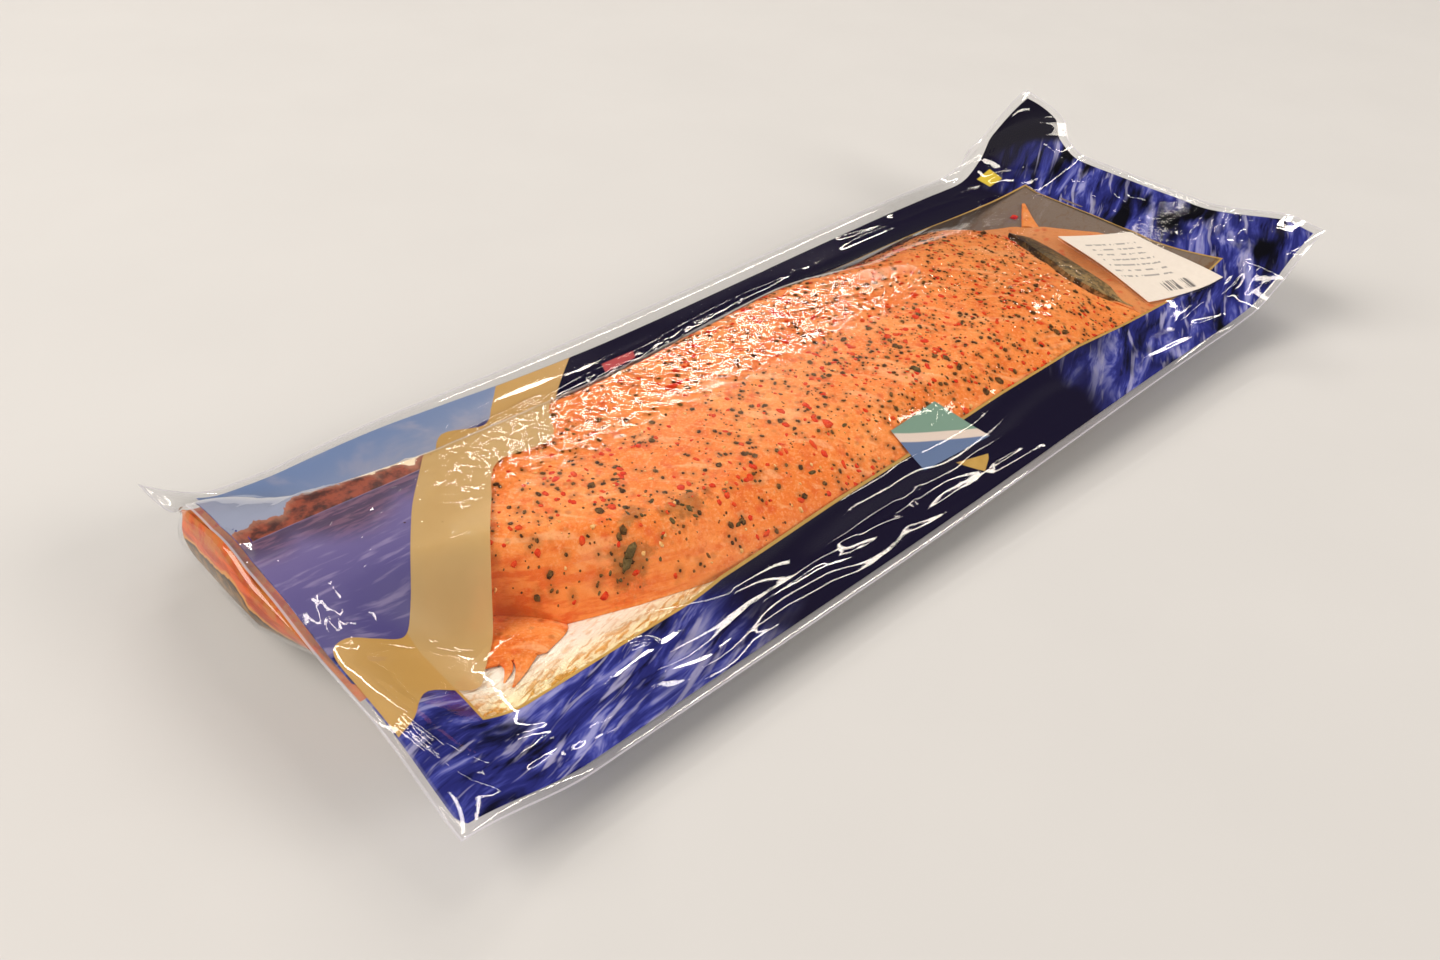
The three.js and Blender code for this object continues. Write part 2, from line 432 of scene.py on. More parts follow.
# The layers in the pack, from the tray film up: how far above it each lies, and the share of the way
# to the top film that it keeps below
BOARD_BOTTOM = (0.35, 0.10)
BOARD_TOP = (1.2, 0.30)
THIN_BOTTOM = (1.4, 0.5)
SKIN_BOTTOM = (1.5, 0.5)
SKIN_TOP = (2.5, 0.6)
EDGE_BOTTOM = (2.5, 0.55)
TAIL_REST = (2.6, 0.55)
FISH_BOTTOM = (2.6, 0.62)

# The tops that touch the top film: how far below it each lies, and the share that it keeps above
FISH_TOP = (0.9, 0.68)
TAIL_TOP = (0.9, 0.66)
EDGE_TOP = (0.75, 0.66)


def between(x, y, share_of):
    """A point between the films. share_of(room) is its share of the way up, of so much room."""
    low_x, _, low_z = tray_point(x, y, bulge=INNER_BULGE, shift=INNER_SHIFT)
    high_x, high_z = plan_x(x, y), film_height(x, y)
    share = share_of(np.maximum(high_z - low_z, 0.01))
    return blend(low_x, high_x, share), y + 0 * x, blend(low_z, high_z, share)


def over_tray(x, y, above, most):
    """A point so far above the tray film, lower at the near end, and at most that share of the way up."""
    rise = above * (0.25 + 0.75 * smooth((x - 12) / 14))
    return between(x, y, lambda room: np.minimum(rise / room, most))


def under_film(x, y, below, least):
    """A point so far below the top film, but at least that share of the way up."""
    return between(x, y, lambda room: np.maximum((room - below) / room, least))


# ---------------------------------------------------------------- making meshes

def select_only(piece):
    bpy.ops.object.select_all(action="DESELECT")
    piece.select_set(True)
    bpy.context.view_layer.objects.active = piece


def read_places(piece):
    co = np.empty(len(piece.data.vertices) * 3)
    piece.data.vertices.foreach_get("co", co)
    return co.reshape(-1, 3)


def write_places(piece, co):
    piece.data.vertices.foreach_set("co", np.asarray(co, float).ravel())
    piece.data.update()


def write_map(piece, x, y):
    """Keeps each corner's place on the flat pack, in metres, as the piece's own UV map."""
    loops = np.empty(len(piece.data.loops), int)
    piece.data.loops.foreach_get("vertex_index", loops)
    layer = piece.data.uv_layers.new(name="pack")
    layer.data.foreach_set("uv", (np.stack([x, y], axis=-1)[loops] * MM).ravel())


def edit_whole(piece, step, **settings):
    """Runs one step of edit mode on all of a piece's mesh."""
    select_only(piece)
    bpy.ops.object.mode_set(mode="EDIT")
    bpy.ops.mesh.select_all(action="SELECT")
    step(**settings)
    bpy.ops.object.mode_set(mode="OBJECT")


def flat_grid(name, columns, rows):
    bpy.ops.object.select_all(action="DESELECT")
    bpy.ops.mesh.primitive_grid_add(x_subdivisions=columns, y_subdivisions=rows, size=1, calc_uvs=False)
    piece = bpy.context.object
    piece.name = piece.data.name = name
    return piece


def grid_shares(piece):
    """How far along and across a fresh grid each of its corners lies, from 0 to 1."""
    co = read_places(piece)
    return co[:, 0] + 0.5, co[:, 1] + 0.5


def thick_grid(name, columns, rows):
    """A grid drawn up into a closed block, its corners' shares, and which of them are on top."""
    piece = flat_grid(name, columns, rows)
    edit_whole(piece, bpy.ops.mesh.extrude_region_move, TRANSFORM_OT_translate={"value": (0, 0, 1)})
    return piece, *grid_shares(piece), read_places(piece)[:, 2:3] > 0.5


def set_block(piece, x, y, spots, angle):
    """Moves a block's corners to their spots, and smooths it up to an angle between its faces."""
    write_places(piece, spots)
    write_map(piece, x, y)
    edit_whole(piece, bpy.ops.mesh.normals_make_consistent, inside=False)
    select_only(piece)
    bpy.ops.object.shade_smooth_by_angle(angle=math.radians(angle))
    return piece


def block(name, columns, rows, plan, low, high, angle):
    """A closed block over plan(u, v), with its underside on low(x, y) and its top on high(x, y)."""
    piece, u, v, top = thick_grid(name, columns, rows)
    x, y = plan(u, v)
    return set_block(piece, x, y, np.where(top, lift(*high(x, y)), lift(*low(x, y))), angle)


def sheet(name, columns, rows, plan, place, hole=None):
    """One layer of film or print over plan(u, v), laid on place(x, y), with the faces in hole left out."""
    piece = flat_grid(name, columns, rows)
    if hole is not None:
        cut_faces(piece, *plan(*grid_shares(piece)), hole)
    x, y = plan(*grid_shares(piece))
    write_places(piece, lift(*place(x, y)))
    write_map(piece, x, y)
    select_only(piece)
    bpy.ops.object.shade_smooth()
    return piece


def cut_faces(piece, x, y, hole):
    """Deletes the faces whose middle on the flat pack lies in hole."""
    (x_low, x_high), (y_low, y_high) = hole
    select_only(piece)
    bpy.ops.object.mode_set(mode="EDIT")
    bpy.ops.mesh.select_mode(type="FACE")
    bpy.ops.mesh.select_all(action="DESELECT")
    bpy.ops.object.mode_set(mode="OBJECT")
    for face in piece.data.polygons:
        corners = list(face.vertices)
        face_x, face_y = x[corners].mean(), y[corners].mean()
        face.select = bool(x_low < face_x < x_high and y_low < face_y < y_high)
    bpy.ops.object.mode_set(mode="EDIT")
    bpy.ops.mesh.delete(type="FACE")
    bpy.ops.object.mode_set(mode="OBJECT")


def stations(breaks, counts):
    """Turns 0 to 1 into places that have grid lines on each of the breaks."""
    shares = np.concatenate([[0], np.cumsum(counts)]) / sum(counts)
    return lambda u: np.interp(u, shares, breaks)


ROUGHNESS = (0.72, 1.18)  # how far in or out the corners of a lump lie


def scatter(name, spots, sizes, turns, seed, slopes):
    """Joins many small rough lumps into one mesh, each of a few faces, and laid along its slopes."""
    bpy.ops.object.select_all(action="DESELECT")
    bpy.ops.mesh.primitive_ico_sphere_add(subdivisions=1, radius=1)
    lump = bpy.context.object
    shape = read_places(lump)
    faces = np.array([list(f.vertices) for f in lump.data.polygons])
    bpy.data.objects.remove(lump)
    rng = np.random.default_rng(seed)
    count = len(spots)
    rough = rng.uniform(*ROUGHNESS, (count, len(shape), 1))
    local = shape[None] * rough * sizes[:, None, :]
    cos, sin = np.cos(turns), np.sin(turns)
    x = local[..., 0] * cos[:, None] - local[..., 1] * sin[:, None]
    y = local[..., 0] * sin[:, None] + local[..., 1] * cos[:, None]
    z = local[..., 2] + x * slopes[:, 0:1] + y * slopes[:, 1:2]
    places = np.stack([x, y, z], axis=-1) + spots[:, None, :]
    mesh = bpy.data.meshes.new(name)
    all_faces = (faces[None] + (np.arange(count) * len(shape))[:, None, None]).reshape(-1, 3)
    mesh.from_pydata(lift(*places.reshape(-1, 3).T).tolist(), [], all_faces.tolist())
    piece = bpy.data.objects.new(name, mesh)
    bpy.context.scene.collection.objects.link(piece)
    select_only(piece)
    bpy.ops.object.shade_smooth()
    return piece


# ---------------------------------------------------------------- materials

class Paint:
    """Short calls for a material's nodes. Most give back an output socket, to hand to the next call."""

    def __init__(self, name, uv=False):
        self.material = bpy.data.materials.new(name)
        self.material.use_nodes = True
        self.tree = self.material.node_tree
        self.tree.nodes.clear()
        self.out = self.tree.nodes.new("ShaderNodeOutputMaterial")
        if uv:
            node = self.tree.nodes.new("ShaderNodeUVMap")
            node.uv_map = "pack"
            self.place = node.outputs["UV"]
        else:
            self.place = self.tree.nodes.new("ShaderNodeTexCoord").outputs["Object"]

    def node(self, kind, values, output=0, **settings):
        """Adds a node, fills its sockets, and gives back one of its outputs."""
        node = self.tree.nodes.new("ShaderNode" + kind)
        for key, value in settings.items():
            setattr(node, key, value)
        for key, value in values.items():
            self.fill(node.inputs[key], value)
        return node.outputs[output]

    def fill(self, socket, value):
        """Links another node's output to a socket, or sets a plain value on the socket itself."""
        if isinstance(value, bpy.types.NodeSocket):
            self.tree.links.new(value, socket)
        elif socket.type == "RGBA":
            socket.default_value = (*value, 1)
        else:
            socket.default_value = value

    def spot(self, scale=(1, 1, 1), shift=(0, 0, 0), place=None):
        """Coordinates that are scaled and moved."""
        return self.node("Mapping", {"Vector": place or self.place, "Location": shift, "Scale": scale})

    def drawn(self, turn, scale, place=None):
        """Coordinates for a pattern that is drawn out along a direction, turned from +X."""
        angle = (0, 0, math.radians(-turn))
        straight = self.node("Mapping", {"Vector": place or self.place, "Rotation": angle})
        return self.node("Mapping", {"Vector": straight, "Scale": scale})

    def noise(self, size, detail=3.0, rough=0.55, warp=0.0, vector=None):
        """Noise whose grains are about so many millimetres across."""
        return self.node("TexNoise", {"Vector": vector or self.place, "Scale": 1 / (size * MM),
                                      "Detail": detail, "Roughness": rough, "Distortion": warp})

    def cells(self, size, vector=None):
        """How far each place lies from the middle of its cell, of so many millimetres."""
        return self.node("TexVoronoi", {"Vector": vector or self.place, "Scale": 1 / (size * MM)})

    def fade(self, value, start, end, low=0.0, high=1.0, kind="SMOOTHSTEP"):
        """Goes smoothly from low to high while the value goes from start to end."""
        return self.node("MapRange", {"Value": value, "From Min": start, "From Max": end,
                                      "To Min": low, "To Max": high}, interpolation_type=kind)

    def step(self, value, start, end, low=0.0, high=1.0):
        """The same at an even rate."""
        return self.fade(value, start, end, low, high, "LINEAR")

    def band(self, value, low, high, soft):
        """1 between two places, in millimetres, and falling to 0 within so much outside them."""
        return self.times(self.fade(value, (low - soft) * MM, low * MM),
                          self.fade(value, (high + soft) * MM, high * MM))

    def maths(self, kind, a, b=0.0):
        return self.node("Math", {0: a, 1: b}, operation=kind)

    def times(self, value, *others):
        for other in others:
            value = self.maths("MULTIPLY", value, other)
        return value

    def plus(self, a, b):
        return self.maths("ADD", a, b)

    def minus(self, a, b):
        return self.maths("SUBTRACT", a, b)

    def vector(self, kind, a, b=(0, 0, 0), output=0):
        return self.node("VectorMath", {0: a, 1: b}, output, operation=kind)

    def mix(self, share, a, b):
        """A colour between a and b. The numbers are those of the node's sockets for colours."""
        return self.node("Mix", {0: share, 6: a, 7: b}, 2, data_type="RGBA")

    def coat(self, tone, layers):
        """Lays colours over a tone, each by a mask: where it starts, where it is full, and how strong."""
        for mask, start, end, share, rgb in layers:
            tone = self.mix(self.fade(mask, start, end, 0, share), tone, colour(*rgb))
        return tone

    def axes(self, place=None):
        """The x, y and z of the coordinates."""
        return self.node("SeparateXYZ", {0: place or self.place}).node.outputs

    def upward(self):
        """How far the surface faces up, from -1 to 1."""
        return self.axes(self.node("NewGeometry", {}, "Normal"))[2]

    def bump(self, height, depth, strength, normal=None):
        """Relief of so many millimetres."""
        values = {"Height": height, "Strength": strength, "Distance": depth * MM}
        if normal is not None:
            values["Normal"] = normal
        return self.node("Bump", values)

    def skin(self, **values):
        """The surface shader. Keys are its socket names with _ for a space."""
        return self.node("BsdfPrincipled", {key.replace("_", " "): value for key, value in values.items()})

    def finish(self, shader):
        self.tree.links.new(shader, self.out.inputs["Surface"])
        return self.material


def colour(r, g, b):
    """A colour given in the 0 to 255 of a screen, as the linear values that shaders take."""
    return tuple((c / 255 / 12.92) if c <= 10 else ((c / 255 + 0.055) / 1.055) ** 2.4 for c in (r, g, b))


def film_material(name, rim):
    """Clear film: it mirrors a little face on and more when seen aslant, with a milky welded rim."""
    p = Paint(name, uv=True)
    x, y, _ = p.axes()
    edge = p.maths("MINIMUM", p.maths("MINIMUM", y, p.minus(PACK_WIDTH * MM, y)),
                   p.maths("MINIMUM", x, p.minus(PACK_LENGTH * MM, x)))

    # Fine relief, which is weaker over the printed borders, and a finer one over the fish's crest
    fine = p.noise(7, 3, 0.55, 0.6)
    lines = p.noise(5, 2, 0.5, 0.4, p.drawn(12, (0.35, 1.3, 1)))
    window = p.times(p.fade(y, 0.034, 0.044), p.fade(y, 0.186, 0.174))
    normal = p.bump(p.times(p.plus(fine, lines), p.step(window, 0, 1, 0.25, 1.0)), 0.16, 0.4)
    off_crest = p.maths("ABSOLUTE", p.minus(y, p.step(x, 0.33, 0.50, 0.1395, 0.078)))
    crest = p.times(p.fade(off_crest, 0.018, 0.030, 1, 0), p.fade(x, 0.06, 0.10))
    normal = p.bump(p.times(p.noise(3.2, 2, 0.5, 0.5), crest), 0.35, 0.7, normal)

    # The film clings to the fish's lower side, where it mirrors less, and less sharply
    low = p.minus(y, p.step(x, 0.24, 0.27, 0.042, 0.060))
    clinging = p.times(p.band(x, 80, 360, 20), p.fade(low, 0, 0.006), p.fade(y, 0.118, 0.108))
    facing = p.node("LayerWeight", {"Blend": 0.5, "Normal": normal}, "Facing")
    share = p.times(p.step(p.maths("POWER", facing, 5.0), 0, 1, 0.05, 1.0), p.step(clinging, 0, 1, 1.0, 0.3))
    gloss = p.node("BsdfGlossy", {"Color": (1, 1, 1), "Roughness": p.step(clinging, 0, 1, 0.045, 0.28),
                                  "Normal": normal})
    clear = p.node("BsdfTransparent", {"Color": (0.985, 0.985, 0.985)})

    # The welded rim is a little milky, and most so along its very edge
    haze = p.node("BsdfDiffuse", {"Color": colour(222, 220, 232), "Roughness": 0.5})
    milky = p.plus(p.fade(edge, 0.0032, 0.0042, 0.13 * rim, 0.0),
                   p.fade(edge, 0.0006, 0.0012, 0.4 * rim, 0.0))
    body = p.node("MixShader", {0: milky, 1: clear, 2: haze})
    return p.finish(p.node("MixShader", {0: share, 1: body, 2: gloss}))


def silk(p, turn, size, pale, hollow):
    """Folds of blue silk that run along a direction: black hollows, blue sides and pale ridges."""
    bend = p.vector("ADD", p.place, wander(p, 40, 0.008))
    streaks = p.noise(size, 4, 0.62, 0.5, p.drawn(turn, (0.28, 1.5, 1), bend))
    threads = p.noise(size * 0.5, 3, 0.6, 0.4, p.drawn(turn + 6, (0.18, 1.5, 1), bend))
    hollows = p.noise(size * 1.7, 3, 0.5, 0.3, p.drawn(turn, (0.45, 1.3, 1), bend))
    tone = p.coat(colour(17, 17, 42), [
        (streaks, 0.34, 0.46, 1, (42, 46, 122)),
        (streaks, 0.46, 0.58, 1, (70, 77, 168)),
        (streaks, pale, pale + 0.14, 1, (156, 158, 214)),
        (threads, 0.55, 0.66, 0.7, (184, 182, 218))])
    return p.mix(p.fade(hollows, hollow - 0.07, hollow + 0.07), colour(9, 9, 18), tone)


def wander(p, size, reach):
    """A slow drift of the coordinates, to bend a pattern."""
    drift = p.node("TexNoise", {"Vector": p.place, "Scale": 1 / (size * MM), "Detail": 1.0}, "Color")
    return p.vector("MULTIPLY", p.vector("SUBTRACT", drift, (0.5, 0.5, 0.5)), (reach, reach, 0))


def print_material():
    """Dark blue border, with marbled blue silk at both ends."""
    p = Paint("border_print", uv=True)
    x, y, _ = p.axes()
    warp = p.step(p.noise(55, 2, 0.5), 0.3, 0.7, -0.03, 0.03)
    near = p.fade(p.plus(x, warp), 0.08, 0.16, 1, 0)
    far = p.fade(p.plus(p.minus(x, y), warp), 0.338, 0.41)
    shade = p.mix(near, colour(24, 20, 44), silk(p, 13, 11, 0.535, 0.35))
    shade = p.mix(far, shade, silk(p, 23, 16, 0.53, 0.43))
    ear = p.plus(y, p.times(x, EAR_SLANT))
    shade = p.coat(shade, [(ear, (EAR_START - 4) * MM, (EAR_START + 1) * MM, 1, (22, 19, 36))])
    return p.finish(p.skin(Base_Color=shade, Roughness=0.5, Specular_IOR_Level=0.0))


def plain_ink_material(name, dark, pale):
    p = Paint(name, uv=True)
    tone = p.mix(p.noise(6, 3), colour(*dark), colour(*pale))
    return p.finish(p.skin(Base_Color=tone, Roughness=0.45, Specular_IOR_Level=0.1))


def ribbon_material():
    """Gold ink that is solid on the border and thin over the window."""
    p = Paint("ribbon_ink", uv=True)
    x, y, _ = p.axes()
    inner = p.times(p.fade(x, 0.0335, 0.0345), p.band(y, 39.5, 177.5, 1))
    tone = p.mix(p.noise(30, 2), colour(190, 148, 74), colour(200, 158, 84))
    thin = p.mix(p.noise(22, 3), colour(196, 160, 98), colour(212, 178, 120))
    ink = p.skin(Base_Color=p.mix(inner, tone, thin), Roughness=0.42)
    clear = p.node("BsdfTransparent", {"Color": (1, 1, 1)})
    return p.finish(p.node("MixShader", {0: p.step(inner, 0, 1, 1.0, 0.9), 1: clear, 2: ink}))


# The picture's islands: how far along, how wide and how high, in metres
ISLANDS = [(0.012, 0.016, 0.012), (0.044, 0.022, 0.021), (0.068, 0.012, 0.012), (0.098, 0.020, 0.017)]
SHORE = 0.1455  # the line between the water and the sky, across the pack


def seascape_material():
    """A plain view of low islands at dusk: pale sky, warm light behind them that also stands for a painted
    glare of the film, still violet water.
    """
    p = Paint("seascape_print", uv=True)
    x, y, _ = p.axes()
    glow_x = p.minus(x, 0.072)
    glow_y = p.times(p.minus(y, 0.160), 1.3)
    away = p.plus(p.times(glow_x, glow_x), p.times(glow_y, glow_y))
    # The warm glow round one spot of the sky is printed light, and also a painted glare of the film over it
    sky = p.coat(colour(154, 162, 188), [
        (y, 0.165, 0.212, 1, (112, 134, 178)),
        (p.noise(40, 4, 0.6, 0.5), 0.48, 0.66, 0.6, (164, 162, 182)),
        (away, 0.0006, 0.0001, 1, (255, 236, 206))])
    water = p.coat(colour(74, 66, 134), [
        (y, 0.085, 0.146, 1, (118, 106, 160)),
        (p.noise(9, 3, 0.6, 0.3, p.spot((0.4, 2.6, 1))), 0.50, 0.68, 0.45, (168, 156, 196))])
    rise = island_height(p, x)
    ragged = p.step(p.noise(10, 4, 0.6, 0.0, p.spot((1, 0.3, 1))), 0.3, 0.7, 0.55, 1.35)
    below_top = p.minus(p.plus(p.times(rise, ragged), SHORE - 0.001), y)
    land = p.times(p.fade(below_top, -0.0003, 0.0003), p.fade(y, SHORE, SHORE + 0.0007))
    rocks = p.coat(colour(70, 36, 36), [
        (p.noise(7, 4, 0.65), 0.36, 0.62, 1, (154, 76, 56)),
        (below_top, 0.006, 0.000, 0.5, (198, 142, 118))])
    foot = p.minus(SHORE, p.times(rise, 0.8))
    mirror = p.times(p.fade(p.minus(y, foot), -0.010, 0.008), p.fade(y, 0.146, 0.1452), 0.8)
    shade = p.coat(colour(62, 40, 62), [
        (p.noise(6, 3, 0.6, 0.3, p.spot((0.4, 2.2, 1))), 0.45, 0.6, 1, (118, 80, 98))])
    scene = p.mix(p.fade(y, SHORE, SHORE + 0.0007), water, sky)
    scene = p.mix(land, p.mix(mirror, scene, shade), rocks)
    return p.finish(p.skin(Base_Color=scene, Roughness=0.42))


def island_height(p, x):
    """The islands' plain outline, before it is made ragged."""
    total = 0.0
    for middle, wide, high in ISLANDS:
        away = p.maths("POWER", p.maths("DIVIDE", p.minus(x, middle), wide), 2.0)
        hump = p.times(p.maths("POWER", 2.0, p.times(away, -1.4)), high)
        total = p.maths("MAXIMUM", total, hump)
    return total


def patch_material():
    """A plain tinted patch, green above a straight pale line and blue below it."""
    p = Paint("tinted_patch", uv=True)
    x, y, _ = p.axes()
    cross = p.plus(y, p.times(x, 0.42))
    tone = p.coat(colour(98, 120, 162), [(cross, 0.1575, 0.1585, 1, (122, 156, 140))])
    tone = p.mix(p.band(cross, 155.5, 159.3, 0.7), tone, colour(226, 210, 200))
    return p.finish(p.skin(Base_Color=tone, Roughness=0.4))


def flesh_material(name="salmon_flesh", deep=0.0, far_tone=(255, 160, 76), wall_streaks_and_shade=0.8):
    """Cured orange flesh: mottled, with fine grain and pale lines between the flakes of muscle."""
    p = Paint(name)
    x, _, z = p.axes()
    bend = p.vector("ADD", p.place, wander(p, 60, 0.03))
    broad = p.noise(34, 3, 0.5)
    mottle = p.noise(8, 4, 0.65)
    grain = p.noise(3.4, 3, 0.6, 0.2, p.drawn(-44, (0.14, 1.1, 1), bend))
    flakes = p.noise(12, 2, 0.5, 0.4, p.drawn(-38, (0.22, 1.2, 1), bend))
    fine = p.noise(1.5, 3, 0.7)
    tone = p.coat(colour(238, 128, 54), [
        (broad, 0.36, 0.64, 1, (248, 149, 76)),
        (mottle, 0.50, 0.68, 0.6, (222, 92, 30)),
        (mottle, 0.46, 0.30, 0.5, (248, 168, 94)),
        (grain, 0.56, 0.70, 0.5, (250, 182, 122)),
        (flakes, 0.60, 0.66, 0.45, (251, 190, 138)),
        (p.noise(2.6, 3, 0.6), 0.62, 0.74, 0.4, (176, 92, 38)),
        (fine, 0.52, 0.66, 0.4, (253, 194, 142)),
        (fine, 0.46, 0.34, 0.35, (212, 96, 36))])
    tone = p.mix(p.fade(x, 0.02, 0.19, deep, 0.35 + deep), tone, colour(*far_tone))

    # Soft red and brown spots from the spices
    red = p.times(p.fade(p.cells(8), 0.12, 0.36, 0.55, 0), p.fade(mottle, 0.40, 0.54))
    tone = p.mix(red, tone, colour(220, 80, 36))
    brown = p.times(p.fade(p.cells(5.5, p.spot(shift=(0.3, 0.1, 0))), 0.10, 0.36, 0.5, 0),
                    p.fade(broad, 0.42, 0.58))
    tone = p.mix(brown, tone, colour(160, 84, 36))

    # Where the surface faces sideways it is painted a redder, darker tone as shade, with streaks along the
    # muscle, and painted browner still as shade where it is steepest
    streaks = p.noise(5, 3, 0.6, 0.2, p.drawn(-18, (0.14, 1.2, 1.2)))
    side = p.coat(colour(236, 104, 44), [(streaks, 0.42, 0.60, 1, (255, 148, 74))])
    tone = p.mix(p.fade(p.upward(), 0.50, 0.90, wall_streaks_and_shade, 0.0), tone, side)
    tone = p.coat(tone, [(p.upward(), 0.34, 0.10, 0.75 * wall_streaks_and_shade, (204, 116, 44))])

    stained = p.node("Attribute", {}, "Fac", attribute_name="stain")
    tone = p.coat(tone, [(stained, 0.05, 0.85, 0.5, (172, 98, 44))])
    tone = p.mix(brown_patches(p), tone, colour(122, 84, 40))
    tone = end_skin(p, x, z, tone)
    normal = p.bump(p.plus(p.times(grain, 0.6), mottle), 0.5, 0.5)
    return p.finish(p.skin(Base_Color=tone, Roughness=0.5, Normal=normal, Specular_IOR_Level=0.12,
                           Subsurface_Weight=0.08, Subsurface_Radius=(0.004, 0.0012, 0.0004),
                           Subsurface_Scale=1.0))


def end_skin(p, x, z, tone):
    """At the near end the fish curls under: cut meat, a yellow rim of fat, then olive brown skin."""
    y = p.axes()[1]
    arch = p.fade(p.maths("ABSOLUTE", p.minus(y, 0.038)), 0.0, 0.05, 0.005, 0)
    level = p.plus(p.minus(z, arch), p.step(p.noise(22, 4, 0.6), 0.3, 0.7, -0.003, 0.003))
    at_end = p.fade(x, -0.290, -0.284, 1, 0)
    cut = p.noise(4, 3, 0.6, 0.3, p.drawn(90, (0.2, 1.2, 1)))
    meat = p.coat(colour(176, 60, 22), [(cut, 0.42, 0.60, 1, (216, 92, 30))])
    ochre = p.times(p.fade(p.noise(6, 3, 0.6), 0.36, 0.58, 0, 0.8), p.fade(level, 0.0285, 0.0320))
    meat = p.mix(ochre, meat, colour(186, 118, 52))
    skin = p.coat(colour(84, 60, 30), [
        (p.noise(5, 3, 0.6), 0.4, 0.6, 1, (150, 110, 54)),
        (level, 0.0205, 0.0232, 1, (46, 34, 18))])
    tone = p.mix(p.times(at_end, 0.9), tone, meat)
    tone = p.mix(p.times(at_end, p.fade(level, 0.0246, 0.0259, 1, 0)), tone, colour(214, 144, 58))
    return p.mix(p.times(at_end, p.fade(level, 0.0230, 0.0238, 1, 0)), tone, skin)


# The herb stains: where each lies on the pack, and how long and how wide it is
BROWN_PATCHES = [(118, 62, 11, 7), (150, 66, 14, 7), (128, 74, 7, 5), (330, 150, 6, 4)]


def brown_patches(p):
    """Soft brown herb stains on the fish: how strong they are at each place."""
    ragged = p.step(p.noise(5, 4, 0.65), 0.3, 0.7, -0.5, 0.5)
    total = 0.0
    for x, y, wide, high in BROWN_PATCHES:
        away = p.vector("SUBTRACT", p.place, ((x - CENTRE_X) * MM, (y - CENTRE_Y) * MM, 0))
        away = p.vector("MULTIPLY", away, (1 / (wide * MM), 1 / (high * MM), 0))
        far = p.plus(p.vector("LENGTH", away, output="Value"), ragged)
        total = p.maths("MAXIMUM", total, p.fade(far, 0.4, 1.1, 0.5, 0))
    return total


def lump_material(name, tones):
    """Small bits whose tone changes from one to the next."""
    p = Paint(name)
    tone = p.coat(colour(*tones[0]), [
        (p.noise(4, 2), 0.38, 0.62, 1, tones[1]),
        (p.noise(1.2, 2), 0.5, 0.72, 0.6, tones[2])])
    normal = p.bump(p.noise(0.8, 2), 0.15, 0.5)
    return p.finish(p.skin(Base_Color=tone, Roughness=0.6, Normal=normal, Specular_IOR_Level=0.08))


def board_material():
    """Board under the fish: gold foil above with a fine grain, painted glints and a painted white glare,
    dull past the tail with its dark reflection painted in brown, grey paper below.
    """
    p = Paint("gold_board")
    x, y, _ = p.axes()
    crinkle = p.noise(2.6, 3, 0.6, 0.6)
    ripple_and_glints = p.noise(3.4, 3, 0.6, 0.5, p.drawn(15, (0.4, 1.4, 1)))
    # Away from its front edge the foil is painted nearly white, a painted glare of the light that it mirrors
    painted_glare = p.fade(y, -0.070, -0.054)
    # The pale streaks along the ripple are painted glints on the crinkled foil
    tone = p.coat(colour(220, 162, 68), [(ripple_and_glints, 0.43, 0.54, 1, (255, 241, 194))])
    tone = p.mix(p.times(painted_glare, p.fade(ripple_and_glints, 0.36, 0.50, 0.62, 1.0)), tone, colour(255, 252, 240))
    # Past the tail the foil is painted dark brown, a painted reflection of the dark round it, and made dull
    tail = p.fade(x, 0.13, 0.16)
    tone = p.mix(p.times(tail, 0.9), tone, colour(92, 62, 42))
    foil = p.fade(p.upward(), -0.1, 0.1)
    tone = p.mix(foil, colour(186, 178, 164), tone)
    normal = p.bump(p.times(p.plus(crinkle, ripple_and_glints), p.step(tail, 0, 1, 1, 0.3)), 1.0, 0.8)
    metal = p.times(foil, p.step(tail, 0, 1, p.step(painted_glare, 0, 1, 0.5, 0.1), 0.0))
    return p.finish(p.skin(Base_Color=tone, Metallic=metal, Roughness=p.step(tail, 0, 1, 0.24, 0.7),
                           Normal=normal))


def skin_material():
    """Dark fish skin with small scales, mottled with gold towards the front."""
    p = Paint("salmon_skin")
    y = p.axes()[1]
    specks = p.cells(2.4)
    tone = p.coat(colour(22, 18, 11), [
        (p.noise(9, 3), 0.4, 0.6, 1, (84, 70, 36)),
        (p.noise(4, 3, 0.6), 0.50, 0.62, 0.7, (140, 114, 60)),
        (specks, 0.3, 0.1, 0.6, (184, 158, 92))])
    gold = p.times(p.fade(y, 0.006, -0.024), p.fade(p.noise(3.4, 4, 0.65), 0.44, 0.56, 0.1, 0.9))
    tone = p.mix(gold, tone, colour(188, 158, 104))
    normal = p.bump(specks, 0.4, 0.6)
    return p.finish(p.skin(Base_Color=tone, Metallic=0.25, Roughness=0.36, Normal=normal))


